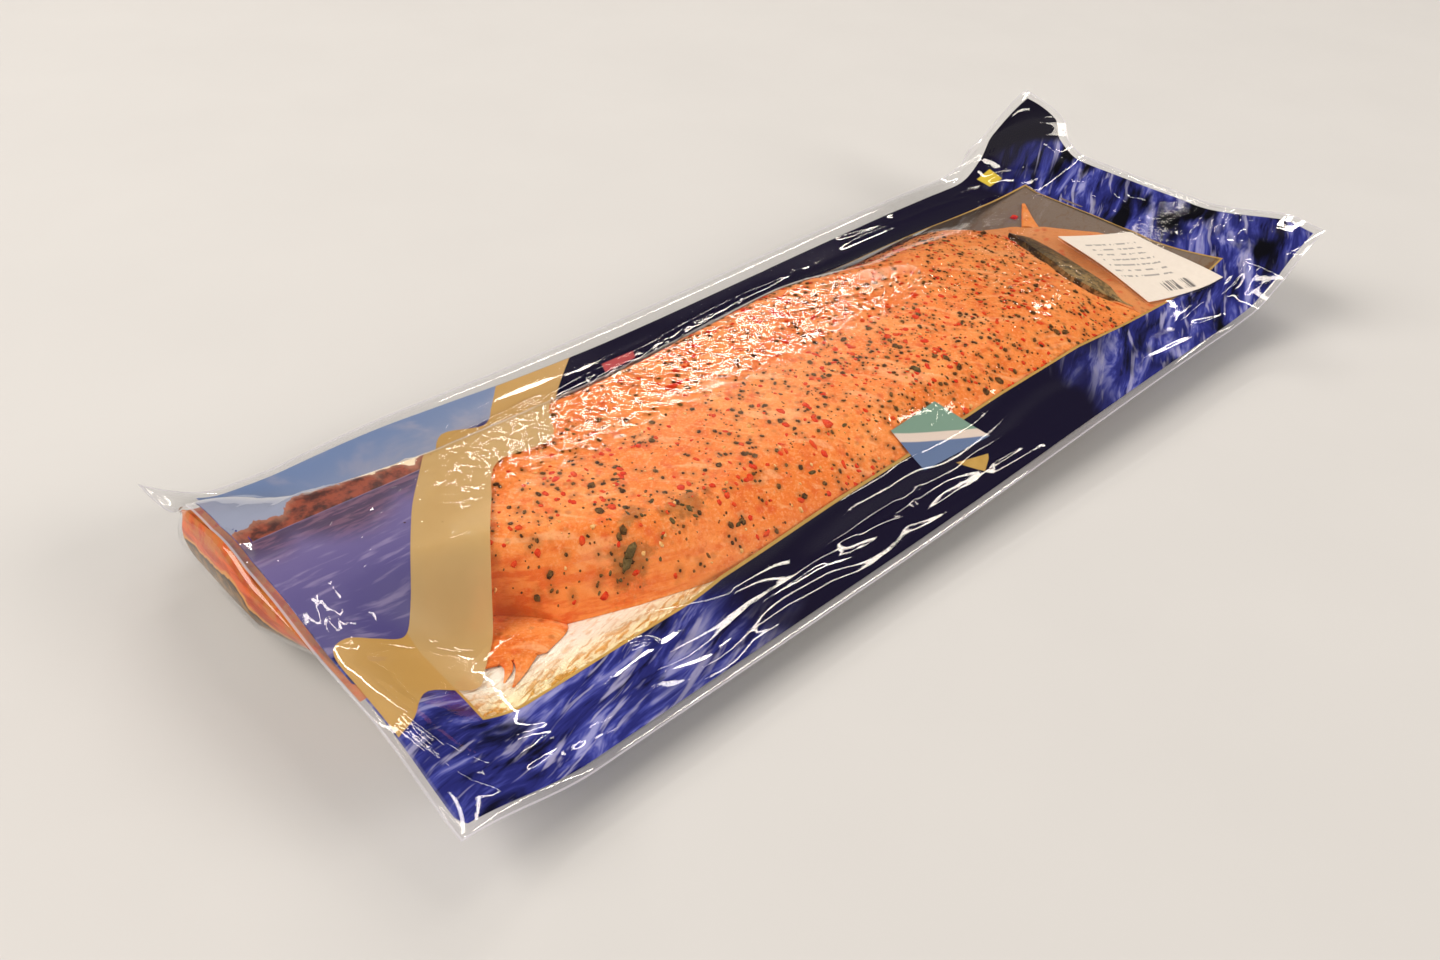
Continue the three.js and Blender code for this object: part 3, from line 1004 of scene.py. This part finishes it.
def sticker_material():
    """White label paper with plain grey rules and a block of stripes."""
    p = Paint("label_paper")
    middle = (-(LABEL_CENTRE[0] - CENTRE_X) * MM, -(LABEL_CENTRE[1] - CENTRE_Y) * MM, 0)
    turn = p.node("Mapping", {"Vector": p.spot(shift=middle), "Rotation": (0, 0, math.radians(LABEL_TURN))})
    x, y, _ = p.axes(turn)
    paper = p.mix(p.noise(3, 3), colour(224, 214, 204), colour(234, 225, 216))
    rules = p.maths("GREATER_THAN", p.maths("FRACT", p.times(y, 160.0)), 0.72)
    words = p.maths("GREATER_THAN", p.noise(2.2, 1, 0.5, 0, p.spot((0.8, 0.4, 1), place=turn)), 0.47)
    lines = p.times(rules, words, p.band(x, -20.5, 16, 0.5), p.band(y, -18, 28.5, 0.5), 0.6)
    tone = p.mix(lines, paper, colour(84, 84, 92))
    stripes = p.maths("GREATER_THAN", p.noise(0.9, 1, 0.5, 0, p.spot((1, 0.01, 1), place=turn)), 0.5)
    code = p.times(stripes, p.band(x, 0.3, 19.7, 0.3), p.band(y, -30.7, -20.8, 0.3), 0.85)
    tone = p.mix(code, tone, colour(50, 50, 56))
    return p.finish(p.skin(Base_Color=tone, Roughness=0.5, Specular_IOR_Level=0.35))


# ---------------------------------------------------------------- the pieces

def hold(piece, material):
    """Gives a piece its material, and says what body it rides on."""
    piece.data.materials.clear()
    piece.data.materials.append(material)
    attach(piece, BODY)
    return piece


def whole_pack(u, v):
    return PACK_LENGTH * u, PACK_WIDTH * v


def make_film():
    """The printed film over the fish and the clear tray film under it meet round the seal."""
    top = sheet("top_film", 500, 182, whole_pack, film_point)
    hold(top, film_material("clear_film", rim=1.0))
    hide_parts("pouch")
    tray = sheet("tray_film", 240, 88, tray_plan, tray_point)
    hold(tray, film_material("clear_tray", rim=0.0))
    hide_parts("pouch")


WALL_SHARE = 0.12  # of the grid's columns, for the near end wall


def tray_plan(u, v):
    """Closer steps over the near end wall, which turns down and under."""
    return np.interp(u, [0, WALL_SHARE, 1], [0, END_WALL_RUN, PACK_LENGTH]), PACK_WIDTH * v


def print_layer(name, cells, plan, below, ink, hole=None):
    """One layer of print over plan(u, v), so far below the film's own soft form."""
    def place(x, y):
        return plan_x(x, y), y + 0 * x, film_height(x, y) + slack(x, y) - below

    hold(sheet(name, *cells, plan, place, hole), ink)


def near_margin(y):
    """How far inside the seal's near edge the print starts: further at the front and at the curled tip."""
    tip = 10 * smooth((y - 184) / 20)
    return 3.0 + 4.5 * (1 - smooth(y / 9)) + 0.6 * smooth((y - 40) / 60) + tip


def drawn_in(x, y):
    """The print stops further from the seal's back edge towards the far end."""
    back = PRINT_Y[1] - 8 * smooth((x - 40) / 190) * (1 - 0.8 * smooth((x - 525) / 40))
    share = (back - WINDOW_Y[1]) / (PRINT_Y[1] - WINDOW_Y[1])
    return x, np.where(y > WINDOW_Y[1], WINDOW_Y[1] + (y - WINDOW_Y[1]) * share, y)


def make_border():
    xs = stations([0, WINDOW_X[0], WINDOW_X[1], PRINT_END], [16, 262, 22])
    ys = stations([PRINT_Y[0], WINDOW_Y[0], WINDOW_Y[1], PRINT_Y[1]], [17, 70, 19])

    def plan(u, v):
        x, y = xs(u), ys(v)
        start = near_margin(y)
        return drawn_in(np.where(x < WINDOW_X[0], start + x * (WINDOW_X[0] - start) / WINDOW_X[0], x), y)

    print_layer("border_print", (300, 106), plan, BORDER_BELOW, print_material(), (WINDOW_X, WINDOW_Y))


def make_window_line(ink):
    """A thin printed line round the clear window."""
    (x0, x1), (y0, y1) = WINDOW_X, WINDOW_Y
    w = LINE_WIDTH / 2
    xs = stations([x0 - w, x0 + w, x1 - w, x1 + w], [2, 260, 2])
    ys = stations([y0 - w, y0 + w, y1 - w, y1 + w], [2, 70, 2])
    print_layer("window_line", (264, 74), lambda u, v: (xs(u), ys(v)), LINE_BELOW, ink,
                ((x0 + w, x1 - w), (y0 + w, y1 - w)))


# The ribbon's two edges in turn, from the back edge of the pack to its near end
RIBBON_LEFT = [(157, 215), (146, 200), (134, 187), (115, 193), (100, 173), (85, 154), (66, 131),
               (57, 118), (48, 104), (40, 93), (32, 85), (22, 86), (12, 88), (5, 82), (4, 62), (3.5, 46)]
RIBBON_RIGHT = [(200, 215), (181, 194), (162, 171), (150, 155), (143, 147), (131, 130), (105, 131),
                (89, 112), (78, 97), (68, 83), (60, 72), (50, 62), (41, 54), (24, 56), (12, 44), (3.5, 39)]


def strip_plan(left, right, steps):
    """A plan that runs along u between two smooth lines, and across from one to the other along v."""
    a, b = np.array(rounded(left, steps)), np.array(rounded(right, steps))
    shares = np.linspace(0, 1, len(a))

    def plan(u, v):
        low = np.stack([np.interp(u, shares, a[:, k]) for k in (0, 1)], axis=-1)
        high = np.stack([np.interp(u, shares, b[:, k]) for k in (0, 1)], axis=-1)
        return tuple(blend(low, high, v[:, None]).T)
    return plan


def make_ribbon():
    plan = strip_plan(RIBBON_LEFT, RIBBON_RIGHT, 6)
    print_layer("ribbon_print", (180, 26), lambda u, v: drawn_in(*plan(u, v)), RIBBON_BELOW,
                ribbon_material())


PICTURE_FRONT = 81.5


def make_seascape():
    """The picture fills the near end, from the seal to the ribbon."""
    left = np.array(rounded(RIBBON_LEFT[3:11], 5))[::-1]

    def plan(u, v):
        y = blend(PICTURE_FRONT, PRINT_Y[1], v)
        end = np.interp(y, left[:, 1], left[:, 0]) + 5
        end = np.where(y > 190, np.interp(y, [190, PRINT_Y[1]], [140, 160]), end)
        return drawn_in(blend(near_margin(y) + 0.2, end, u), y)

    print_layer("seascape_print", (88, 80), plan, PICTURE_BELOW, seascape_material())


def quad_plan(corners):
    """A plan over a four-sided figure, whose corners are given in turn."""
    a, b, c, d = (np.array(q, float) for q in corners)

    def plan(u, v):
        along_front = blend(a, b, u[:, None])
        along_back = blend(d, c, u[:, None])
        return tuple(blend(along_front, along_back, v[:, None]).T)
    return plan


def make_marks(gold):
    """The tinted patch with its gold wedge, and a small red and a small yellow mark on the border."""
    tinted = patch_material()
    red = plain_ink_material("red_ink", (176, 52, 60), (196, 84, 88))
    yellow = plain_ink_material("yellow_ink", (206, 178, 40), (222, 198, 70))
    marks = [
        ("tinted_patch", (24, 20), [(263, 30), (307, 26), (295, 52), (262, 51)], PATCH_BELOW, tinted),
        ("gold_wedge", (10, 10), [(280, 25), (288, 14), (296, 18), (298, 20)], RIBBON_BELOW, gold),
        ("red_field", (10, 6), [(206, 186), (226, 187), (229, 192.5), (209, 193)], RIBBON_BELOW, red),
        ("yellow_mark", (6, 6), [(535, 191), (548, 191), (548, 202), (535, 202)], RIBBON_BELOW, yellow),
    ]
    for name, cells, corners, below, ink in marks:
        print_layer(name, cells, quad_plan(corners), below, ink)


# ---------------------------------------------------------------- the fish and its board

# How far in the fish rounds off from its front, back, far and near edges
SIDE_ROUND = 12
BACK_ROUND = 20
END_ROUND = 9
NEAR_ROUND = 8

FISH_X = (1.2, 486)
SKIN_X = (20, 494)
BOARD_X = (13, 562)
BOARD_Y = (35, 186)


def fish_back(x):
    return crease(x) - 5


def fish_end(y):
    return along(FISH_END, y)


def fish_low(x, y):
    """Beyond the torn flap the fish's front edge lies down onto the board."""
    edge = (1 - smooth((y - along(FISH_FRONT, x)) / 6)) * smooth((x - 60) / 30)
    above, most = FISH_BOTTOM
    return over_tray(x, y, above - 1.3 * edge, most)


def fish_high(x, y):
    """The fish touches the film from below, and rounds off towards its own edges."""
    low_x, _, low_z = fish_low(x, y)
    top_x, _, top_z = under_film(x, y, *FISH_TOP)
    front = y - along(FISH_FRONT, x)
    back = fish_back(x) - y
    end = fish_end(y) - x
    full = 1.0
    for away, radius in [(front, SIDE_ROUND), (back, BACK_ROUND), (end, END_ROUND), (x - 1, NEAR_ROUND)]:
        t = np.clip(away / radius, 0, 1)
        full = full * np.sqrt(np.maximum(1 - (1 - t) ** 2, 0))
    relief = 0.45 * lattice(*turned(x, y, 42), 34, 7, 21) + 0.3 * lattice(x, y, 9, 9, 22) - 0.4
    z = low_z + np.maximum(top_z + relief * full - low_z, 0.2) * full
    return blend(low_x, top_x, full), y + 0 * x, z


def make_fish(flesh):
    def plan(u, v):
        x = blend(*FISH_X, u)
        y = blend(along(FISH_FRONT, x), fish_back(x), v)
        return np.minimum(x, fish_end(y)), y

    return hold(block("salmon_side", 320, 116, plan, fish_low, fish_high, 70), flesh)


def make_skin(skin):
    """The skin under the fish, which shows as a dark edge at the tail and at the near end."""
    def plan(u, v):
        x = blend(*SKIN_X, u)
        front = along(FISH_FRONT, x) + 2 + 8 * smooth((x - 50) / 30)
        y = blend(front, fish_back(x) - 2, v)
        return np.minimum(x, fish_end(y) + 7), y

    piece = block("salmon_skin", 120, 40, plan, lambda x, y: over_tray(x, y, *SKIN_BOTTOM),
                  lambda x, y: over_tray(x, y, *SKIN_TOP), 50)
    hold(piece, skin)


# The strip of dark skin where the fish was cut off: its side by the fish, and its far side
SKIN_NEAR = [(481, 139), (479, 128), (475, 116), (470, 101), (462, 83), (463, 68), (468, 54), (472, 47)]
SKIN_FAR = [(485, 141), (493, 133), (493, 120), (490, 104), (485, 84), (483, 70), (480, 56), (476, 48)]
EDGE_DROP = 2.2  # from its top down to its far side


def make_skin_edge(skin):
    """The dark skin that shows where the fish was cut off at the tail. It slopes down to its far side."""
    piece, u, v, top = thick_grid("skin_edge", 80, 12)
    x, y = strip_plan(SKIN_NEAR, SKIN_FAR, 8)(u, v)
    top_x, _, top_z = under_film(x, y, *EDGE_TOP)
    low = over_tray(x, y, *EDGE_BOTTOM)
    spots = np.where(top, lift(top_x, y, top_z - EDGE_DROP * v ** 2), lift(*low))
    hold(set_block(piece, x, y, spots, 60), skin)


def make_board(gold):
    piece = block("gold_board", 200, 70, lambda u, v: (blend(*BOARD_X, u), blend(*BOARD_Y, v)),
                  lambda x, y: over_tray(x, y, *BOARD_BOTTOM), lambda x, y: over_tray(x, y, *BOARD_TOP), 50)
    hold(piece, gold)


TONGUE_CLEAR = 0.6  # between a thin piece and the film over it


def tongue(name, left, right, thick):
    """A thin piece of flesh on the board between two edges, thinner towards its end."""
    piece, u, v, top = thick_grid(name, 30, 12)
    x, y = strip_plan(left, right, 6)(u, v)
    low_x, _, low_z = over_tray(x, y, *THIN_BOTTOM)
    rise = thick * np.sqrt(np.clip(1 - (2 * v - 1) ** 2, 0, 1)) * np.sqrt(np.clip(1.2 - u, 0, 1)) + 0.1
    room = film_height(x, y) - TONGUE_CLEAR - low_z
    high_z = low_z + np.clip(rise, 0.05, np.maximum(room, 0.1))
    spots = np.where(top, lift(low_x, y, high_z), lift(low_x, y, low_z))
    return set_block(piece, x, y, spots, 60)


def make_flap(flesh):
    """A thin torn flap of the belly that ends in a forked tip, on the board beside the fish."""
    body = tongue("belly_flap", [(44, 92), (42, 78), (42, 70), (44, 65)],
                  [(90, 82), (90, 70), (86, 61), (72, 55)], 4.5)
    prongs = [
        tongue("belly_flap_tip", [(60, 63), (59.5, 57.5), (56.5, 53), (52, 48.5)],
               [(72, 59), (66, 54.5), (59.5, 51), (52.6, 48.1)], 2.6),
        tongue("belly_flap_point", [(54, 64), (55.5, 59.5), (54, 56), (51, 52.5)],
               [(60, 62), (59.2, 58), (56.4, 54.8), (51.5, 52.1)], 2.2),
    ]
    select_only(body)
    for prong in prongs:
        prong.select_set(True)
    bpy.ops.object.join()
    hold(body, flesh)


def make_scraps(flesh):
    """A thin strand of flesh and a red fleck on the board's far corner."""
    strand = tongue("loose_strand", [(511, 148), (522, 156), (535, 165)],
                    [(516, 136), (524, 148), (536, 163)], 1.6)
    hold(strand, flesh)
    fleck = tongue("red_fleck", [(515, 160), (519, 161)], [(516, 156), (520, 157)], 1.2)
    hold(fleck, lump_material("red_fleck", [(214, 44, 18), (230, 70, 32), (186, 28, 12)]))


TAIL_Y = (39, 166)
TAIL_END = [(38, 512), (44, 534), (70, 544), (100, 543), (111, 539), (132, 517), (148, 501), (161, 481),
            (167, 466)]


def make_tail(flesh):
    """Thin flesh past the cut end of the fish, out to the corner of the window."""
    def plan(u, v):
        y = blend(*TAIL_Y, v)
        return blend(fish_end(y) - 4, along(TAIL_END, y), u), y

    def high(x, y):
        high_x, high_y, high_z = under_film(x, y, *TAIL_TOP)
        low_z = over_tray(x, y, *TAIL_REST)[2]
        return high_x, high_y, np.minimum(high_z, low_z + 3.0 + 0.8 * lattice(x, y, 14, 10, 31))

    piece = block("tail_flesh", 60, 60, plan, lambda x, y: over_tray(x, y, *THIN_BOTTOM), high, 60)
    hold(piece, flesh)


# Where spices can lie, and how many places are drawn at once
SPICE_X = (36, 478)
SPICE_Y = (36, 186)
SPOTS_AT_ONCE = 4000


def fish_spots(rng, count, keep):
    """So many places on the visible top of the fish, kept by chance, with the slopes there."""
    found = []
    while len(found) < count:
        x = rng.uniform(*SPICE_X, SPOTS_AT_ONCE)
        y = rng.uniform(*SPICE_Y, SPOTS_AT_ONCE)
        on_top = (y > along(FISH_FRONT, x) + 3) & (y < fish_back(x) - 4) & (x < fish_end(y) - 4)
        good = on_top & (rng.uniform(0, 1, SPOTS_AT_ONCE) < keep(x, y))
        found.extend(zip(x[good], y[good]))
    return on_fish(*np.array(found[:count]).T)


def on_fish(x, y):
    """The places on the fish's top over x and y, and how steeply it slopes along each of them."""
    z = fish_high(x, y)[2]
    slope_x = fish_high(x + 1, y)[2] - fish_high(x - 1, y)[2]
    slope_y = fish_high(x, y + 1)[2] - fish_high(x, y - 1)[2]
    slopes = np.stack([slope_x / 2, slope_y / 2], axis=-1)
    return np.stack([x, y, z], axis=-1), np.clip(slopes, -0.7, 0.7)


# Each kind of spice: how many, its half size, how uneven that is, its shape and its three tones
SPICES = [
    ("black_pepper", 1250, 0.92, 0.38, (1, 0.85, 0.5), [(66, 42, 22), (108, 76, 38), (150, 114, 64)]),
    ("fine_pepper", 1800, 0.5, 0.3, (1, 0.85, 0.5), [(92, 58, 26), (128, 86, 42), (156, 108, 56)]),
    ("red_pepper", 760, 1.2, 0.32, (1.2, 0.9, 0.2), [(226, 58, 28), (232, 84, 38), (208, 44, 20)]),
    ("pale_seeds", 320, 0.8, 0.3, (1, 0.85, 0.45), [(232, 168, 92), (244, 196, 132), (206, 132, 66)]),
    ("green_herb", 130, 0.8, 0.4, (1.35, 0.8, 0.22), [(84, 68, 36), (118, 98, 58), (52, 46, 26)]),
]


STAIN_REACH = 3.2  # from the middle of a grain


def stain(fish, spots):
    """Notes round each grain how strongly it has stained the flesh, at every corner of the mesh."""
    place = read_places(fish)[:, :2] / MM + (CENTRE_X, CENTRE_Y)
    share = np.zeros(len(place))
    for x, y, _ in spots:
        share = np.maximum(share, 1 - np.hypot(place[:, 0] - x, place[:, 1] - y) / STAIN_REACH)
    fish.data.attributes.new("stain", "FLOAT", "POINT").data.foreach_set("value", share)


def peppered(x, y):
    """How thickly the spices lie: in patches, and thicker towards the tail."""
    patches = 0.5 + 0.5 * lattice(x, y, 26, 20, 42)
    return np.clip(0.25 + 0.75 * patches * (0.6 + 0.4 * smooth((x - 120) / 200)), 0, 1)


def herby(x, y):
    """How thickly the herbs lie: mostly on the brown stains."""
    near = [np.exp(-((x - px) / 9) ** 2 - ((y - py) / 5) ** 2) for px, py, _, _ in BROWN_PATCHES]
    return np.maximum(0.06 * peppered(x, y), np.max(near, axis=0))


def make_spices(fish):
    rng = np.random.default_rng(41)
    for name, count, size, spread, shape, tones in SPICES:
        spots, slopes = fish_spots(rng, count, herby if name == "green_herb" else peppered)
        sizes = rng.lognormal(math.log(size), spread, count)[:, None]
        sizes = sizes * rng.uniform(0.7, 1.25, (count, 3)) * shape
        lumps = scatter(name, spots + (0, 0, 0.1), sizes, rng.uniform(0, 2 * math.pi, count), count, slopes)
        hold(lumps, lump_material(name, tones))
        if name == "black_pepper":
            stain(fish, spots)


def make_leaf():
    """One flat dark leaf on the side of the fish."""
    spots, slopes = on_fish(np.array([116.5, 119.5]), np.array([62.6, 64.2]))
    sizes = np.array([[4.4, 2.2, 0.5], [3.4, 2.0, 0.45]])
    leaf = scatter("herb_leaf", spots + (0, 0, 0.2), sizes, np.array([0.5, 0.3]), 5, slopes)
    hold(leaf, lump_material("herb_leaf", [(96, 78, 44), (122, 102, 62), (70, 54, 28)]))


def dress_sticker():
    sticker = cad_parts["sticker"]
    sticker.data.materials.clear()
    sticker.data.materials.append(sticker_material())


# ---------------------------------------------------------------- floor, light and camera

CAMERA_PLACE = (-0.3955, -0.2956, 0.3200)
CAMERA_TURN = (52.216, -3.502, -43.611)
LENS = 28.2
SENSOR = 36

FLOOR_SIZE = 14
FLOOR_LEVEL = -0.0006

# Each soft box: its compass turn from +X towards +Y, how high it stands in degrees, how far off it is,
# its two sides, its power, and how it is rolled
LAMPS = {
    "back_strip": (48, 35, 2.8, (1.3, 0.07), 13, 20),
    "front_strip": (24, 51, 2.8, (1.0, 0.09), 5.6, 31),
    "near_strip": (34, 64, 2.8, (1.1, 0.12), 7.0, 0),
    "far_strip": (17, 25, 2.8, (0.3, 0.06), 1.2, 0),
    "side_strip": (-18, 51, 2.8, (0.4, 0.08), 1.6, -56),
    "right_key": (302, 22, 3.0, (1.6, 1.0), 55, 0),
    "left_key": (145, 40, 3.0, (1.8, 1.8), 78, 0),
}
LAMP_AIM = Vector((0, 0, 0.02))
LAMP_TONE = (1.0, 0.92, 0.82)

# The studio's own light dims towards one side, behind the pack
DARK_SIDE = (0.579, 0.579, 0.574)
STUDIO_TONE = (1.0, 0.96, 0.9, 1)
STUDIO_LIGHT = 0.34
STUDIO_DIM = 0.06


def make_floor():
    bpy.ops.object.select_all(action="DESELECT")
    bpy.ops.mesh.primitive_plane_add(size=FLOOR_SIZE, location=(0, 0, FLOOR_LEVEL))
    floor = bpy.context.object
    floor.name = "floor"
    p = Paint("floor_paper")
    tone = p.mix(p.noise(120, 3), (0.62, 0.62, 0.63), (0.66, 0.66, 0.67))
    floor.data.materials.append(p.finish(p.skin(Base_Color=tone, Roughness=0.8)))


def add_lamp(name, azimuth, elevation, distance, size, power, roll):
    data = bpy.data.lights.new(name, "AREA")
    data.shape = "RECTANGLE"
    data.size, data.size_y = size
    data.energy = power
    data.color = LAMP_TONE
    lamp = bpy.data.objects.new(name, data)
    bpy.context.scene.collection.objects.link(lamp)
    a, e = math.radians(azimuth), math.radians(elevation)
    away = Vector((math.cos(a) * math.cos(e), math.sin(a) * math.cos(e), math.sin(e)))
    lamp.location = LAMP_AIM + distance * away
    spin = Euler((0, 0, math.radians(roll))).to_quaternion()
    lamp.rotation_euler = (away.to_track_quat("Z", "Y") @ spin).to_euler()


def make_studio():
    for name, settings in LAMPS.items():
        add_lamp(name, *settings)
    world = bpy.data.worlds.new("studio")
    bpy.context.scene.world = world
    world.use_nodes = True
    nodes, links = world.node_tree.nodes, world.node_tree.links
    sky = nodes["Background"]
    sky.inputs["Color"].default_value = STUDIO_TONE
    towards = nodes.new("ShaderNodeVectorMath")
    towards.operation = "DOT_PRODUCT"
    towards.inputs[1].default_value = DARK_SIDE
    links.new(nodes.new("ShaderNodeTexCoord").outputs["Generated"], towards.inputs[0])
    level = nodes.new("ShaderNodeMapRange")
    level.interpolation_type = "SMOOTHSTEP"
    span = {"From Min": 0.45, "From Max": 0.85, "To Min": STUDIO_LIGHT, "To Max": STUDIO_DIM}
    for socket, value in span.items():
        level.inputs[socket].default_value = value
    links.new(towards.outputs["Value"], level.inputs["Value"])
    links.new(level.outputs["Result"], sky.inputs["Strength"])


def make_camera():
    data = bpy.data.cameras.new("camera")
    data.lens = LENS
    data.sensor_width = SENSOR
    camera = bpy.data.objects.new("camera", data)
    bpy.context.scene.collection.objects.link(camera)
    camera.location = CAMERA_PLACE
    camera.rotation_euler = Euler([math.radians(a) for a in CAMERA_TURN])
    bpy.context.scene.camera = camera
    bpy.context.scene.view_settings.view_transform = "Standard"


make_camera()
make_film()
make_border()
gold_ink = plain_ink_material("gold_ink", (180, 142, 70), (204, 168, 96))
make_window_line(gold_ink)
make_ribbon()
make_seascape()
make_marks(gold_ink)
flesh = flesh_material()
fish = make_fish(flesh)
skin = skin_material()
make_skin(skin)
make_skin_edge(skin)
make_board(board_material())
make_flap(flesh_material("flap_flesh", wall_streaks_and_shade=0.35))
make_scraps(flesh)
make_tail(flesh_material("tail_flesh", 0.45, (222, 148, 92)))
make_spices(fish)
make_leaf()
dress_sticker()
make_floor()
make_studio()
